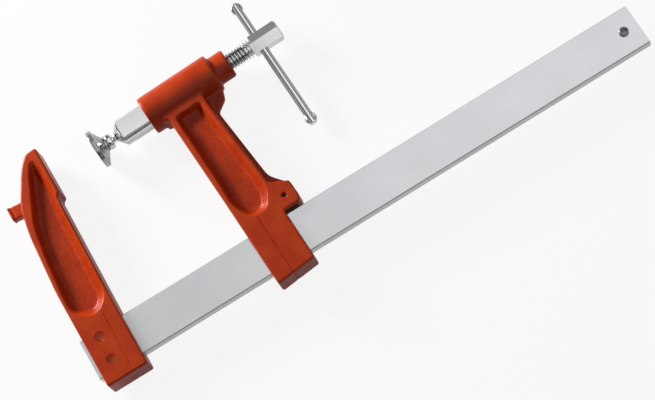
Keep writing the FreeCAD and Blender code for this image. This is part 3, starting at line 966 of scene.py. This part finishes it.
@dataclass
class Studio:
    """The pale floor, the soft lamps and the camera of the photograph."""

    camera_at: Point = (0.18244, -0.80926, 1.74018)
    camera_aim: Point = (0.19621, -0.15805, 0.0)
    camera_roll_deg: float = -30.446
    focal_px: float = 2155.87
    floor_half: float = 3.0
    floor_middle: Flat = (0.2, -0.1)
    # The paper's own tone, the tone it shows, and its glow as seen and as metal mirrors it
    paper_tone: str = "#C4C4C4"
    paper_seen: str = "#F6F6F6"
    paper_glow: float = 0.88
    mirrored_glow: float = 0.42
    # The walls brighten toward both ends of the bar, the ceiling toward its free end
    wall_places: Span = (0.25, 0.65)
    wall_levels: Span = (0.45, 1.0)
    ceiling_places: Span = (-0.22, 0.08)
    ceiling_levels: Span = (0.40, 1.25)
    ceiling_edge: Span = (0.76, 0.88)
    room_tone: str = "#FBFBFD"
    # The share of the mirrored room that lights matt things
    sky_fill: float = 0.22

    def set_up(self) -> None:
        """Floor, room, lamps and camera, in that order."""
        self.floor()
        self.room()
        for lamp in (KEY, FILL):
            lamp.light()
        self.camera()
        bpy.context.scene.view_settings.view_transform = "Standard"

    def floor(self) -> bpy.types.Object:
        """Lay a plain pale floor just under the object.

        Returns:
            The floor.
        """
        low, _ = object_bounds()
        shape = bmesh.new()
        bmesh.ops.create_grid(shape, x_segments=1, y_segments=1, size=self.floor_half)
        bmesh.ops.translate(shape, verts=shape.verts, vec=(*self.floor_middle, low[2]))
        mesh = bpy.data.meshes.new("floor")
        shape.to_mesh(mesh)
        shape.free()
        floor = bpy.data.objects.new("floor", mesh)
        bpy.context.scene.collection.objects.link(floor)
        mesh.materials.append(self.paper())
        floor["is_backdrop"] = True
        return floor

    def paper(self) -> bpy.types.Material:
        """Make matt paper that shows nearly white and keeps the object's shadow.

        Returns:
            The paper's material.
        """
        material, tree = blank_material("studio_paper")
        path = add_node(tree, "ShaderNodeLightPath")
        mirrored = add_node(
            tree,
            "ShaderNodeMath",
            {"operation": "MAXIMUM"},
            links={0: path.outputs["Is Glossy Ray"], 1: path.outputs["Is Transmission Ray"]},
        )
        in_metal, to_camera = [
            add_node(tree, "ShaderNodeMath", {"operation": "MULTIPLY"}, {1: glow}, {0: ray})
            for ray, glow in (
                (mirrored.outputs[0], self.mirrored_glow),
                (path.outputs["Is Camera Ray"], self.paper_glow),
            )
        ]
        share = add_node(
            tree,
            "ShaderNodeMath",
            {"operation": "MAXIMUM"},
            links={0: in_metal.outputs[0], 1: to_camera.outputs[0]},
        )
        seen = add_node(
            tree,
            "ShaderNodeMath",
            {"operation": "MAXIMUM"},
            links={0: mirrored.outputs[0], 1: path.outputs["Is Camera Ray"]},
        )
        tone = add_node(
            tree,
            "ShaderNodeMix",
            {"data_type": "RGBA"},
            {6: linear(self.paper_tone), 7: linear(self.paper_seen)},
            {0: seen.outputs[0]},
        )
        paper = add_node(tree, "ShaderNodeBsdfDiffuse", links={"Color": tone.outputs[2]})
        glow = add_node(
            tree, "ShaderNodeEmission", values={"Color": linear("#FFFFFF"), "Strength": 1.0}
        )
        both = add_node(
            tree,
            "ShaderNodeMixShader",
            links={0: share.outputs[0], 1: paper.outputs[0], 2: glow.outputs[0]},
        )
        add_node(tree, "ShaderNodeOutputMaterial", links={"Surface": both.outputs[0]})
        return material

    def room(self) -> None:
        """Light the room: bright end walls, dark flags, a ceiling that brightens along the bar."""
        world = bpy.data.worlds.new("studio_room")
        bpy.context.scene.world = world
        world.use_nodes = True
        tree = world.node_tree
        tree.nodes.clear()
        way = add_node(tree, "ShaderNodeTexCoord").outputs["Generated"]
        axes = add_node(tree, "ShaderNodeSeparateXYZ", links={0: way})
        bands = add_node(tree, "ShaderNodeValToRGB", links={0: axes.outputs["Z"]})
        self.grade(bands.color_ramp, ROOM_BANDS)
        aside = add_node(
            tree, "ShaderNodeMath", {"operation": "ABSOLUTE"}, links={0: axes.outputs["X"]}
        )
        side, ceiling, overhead = [
            add_node(
                tree,
                "ShaderNodeMapRange",
                {"interpolation_type": "SMOOTHSTEP"},
                spans(places, levels),
                {"Value": value},
            )
            for value, places, levels in (
                (aside.outputs[0], self.wall_places, self.wall_levels),
                (axes.outputs["X"], self.ceiling_places, self.ceiling_levels),
                (axes.outputs["Z"], self.ceiling_edge, UNIT),
            )
        ]
        walls = add_node(
            tree,
            "ShaderNodeMath",
            {"operation": "MULTIPLY"},
            links={0: bands.outputs[0], 1: side.outputs[0]},
        )
        shown = add_node(
            tree,
            "ShaderNodeMix",
            {"data_type": "FLOAT"},
            links={0: overhead.outputs[0], 2: walls.outputs[0], 3: ceiling.outputs[0]},
        )
        dim = add_node(
            tree,
            "ShaderNodeMath",
            {"operation": "MULTIPLY"},
            {1: self.sky_fill},
            {0: shown.outputs[0]},
        )
        path = add_node(tree, "ShaderNodeLightPath")
        level = add_node(
            tree,
            "ShaderNodeMix",
            {"data_type": "FLOAT"},
            links={0: path.outputs["Is Glossy Ray"], 2: dim.outputs[0], 3: shown.outputs[0]},
        )
        room = add_node(
            tree,
            "ShaderNodeBackground",
            values={"Color": linear(self.room_tone)},
            links={"Strength": level.outputs[0]},
        )
        white = add_node(
            tree, "ShaderNodeBackground", values={"Color": linear("#FFFFFF"), "Strength": 1.0}
        )
        both = add_node(
            tree,
            "ShaderNodeMixShader",
            links={0: path.outputs["Is Camera Ray"], 1: room.outputs[0], 2: white.outputs[0]},
        )
        add_node(tree, "ShaderNodeOutputWorld", links={"Surface": both.outputs[0]})

    @staticmethod
    def grade(ramp: bpy.types.ColorRamp, stops: list[Flat]) -> None:
        """Set a ramp to grey levels.

        Args:
            ramp: the ramp to set.
            stops: each level's place on the ramp, and the level.
        """
        while len(ramp.elements) < len(stops):
            ramp.elements.new(0.5)
        for element, (place, level) in zip(ramp.elements, stops):
            element.position = place
            element.color = (level, level, level, 1.0)

    def camera(self) -> bpy.types.Object:
        """Set up the camera at the place and angle solved from the photograph.

        Returns:
            The camera.
        """
        data = bpy.data.cameras.new("camera")
        data.sensor_fit = "HORIZONTAL"
        data.sensor_width = SENSOR_MM
        data.lens = self.focal_px / IMAGE_WIDTH * SENSOR_MM
        camera = bpy.data.objects.new("camera", data)
        line = Vector(self.camera_aim) - Vector(self.camera_at)
        roll = Matrix.Rotation(math.radians(self.camera_roll_deg), 3, "Z")
        turn = line.to_track_quat("-Z", "Y").to_matrix() @ roll
        camera.matrix_world = Matrix.Translation(self.camera_at) @ turn.to_4x4()
        bpy.context.scene.collection.objects.link(camera)
        bpy.context.scene.camera = camera
        return camera


JAW_SEAM = Seam(top=(-18.6, -143.0), bottom=(-20.5, -202.5), width=1.2, depth=0.35)
ARM_SEAM = Seam(top=arm_place(-3.6, 29.6), bottom=arm_place(-3.6, -30.9), width=0.9, depth=0.7)
CASTINGS = (
    Casting("fixed_jaw", Body.FRAME, (JAW_SEAM,), voxel_mm=0.8),
    Casting("sliding_arm", Body.ARM, (ARM_SEAM, GuideBore()), voxel_mm=0.9),
)
TURNED = (
    TurnedPiece("plunger_sleeve", Body.PLUNGER),
    TurnedPiece("ball_stud", Body.PLUNGER),
    TurnedPiece("swivel_pad", Body.PAD),
    TurnedPiece("pad_collar", Body.PAD),
    TurnedPiece("screw_spindle", Body.SCREW, sharp_deg=14.0),
    TurnedPiece("tommy_bar", Body.HANDLE),
)


def main() -> None:
    """Build and dress the clamp in order, and report each piece."""
    logging.basicConfig(level=logging.INFO, format="%(message)s")
    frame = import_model()
    wardrobe = Wardrobe.stocked()
    wardrobe.dress(frame)
    for maker in (*CASTINGS, *TURNED):
        piece = maker.build(frame)
        maker.dress(piece, wardrobe)
        LOG.info("built %s with %d faces", piece.name, len(piece.data.polygons))
    Studio().set_up()


if __name__ == "__main__":
    main()
